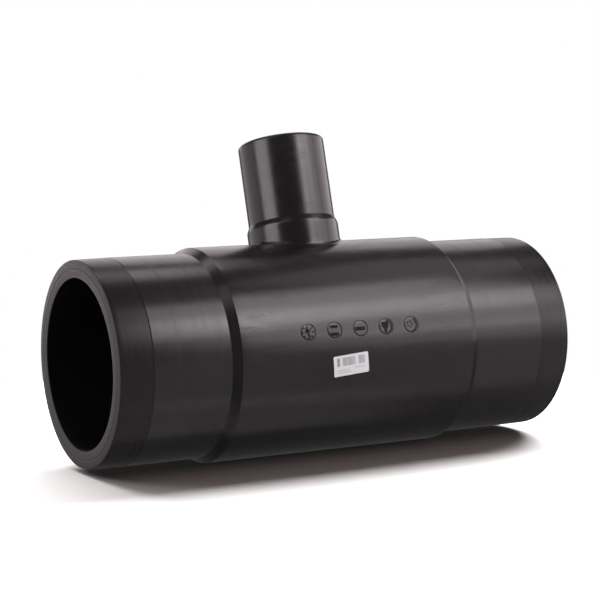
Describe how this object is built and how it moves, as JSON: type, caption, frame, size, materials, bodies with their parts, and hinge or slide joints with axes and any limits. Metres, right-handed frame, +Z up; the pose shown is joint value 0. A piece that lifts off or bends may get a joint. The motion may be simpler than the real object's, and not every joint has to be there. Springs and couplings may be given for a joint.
{
  "type": "reducing tee pipe fitting",
  "caption": "Thick-walled black polyethylene pipe tee: a wide straight run with plain ends under a raised barrel, and a much smaller plain branch standing square on top.",
  "frame": {"origin": "under the branch's axis, at the lowest line of the barrel, which is the floor the tee lies on", "axes": "+X along the run towards the right spigot, +Z up the branch, -Y towards the side with the marks and the label"},
  "size_m": [0.625, 0.263, 0.3972],
  "materials": {
    "moulded_black": "semi-gloss black polyethylene as it comes from the mould",
    "turned_black": "satin black polyethylene with fine turning lines",
    "label_white": "white self-adhesive paper with pale grey bars"
  },
  "bodies": {
    "root": {"tee_body": "moulded_black", "run_spigot_left": "turned_black", "run_spigot_right": "turned_black", "branch_spigot": "moulded_black", "barcode_label": "label_white"}
  },
  "joints": []
}
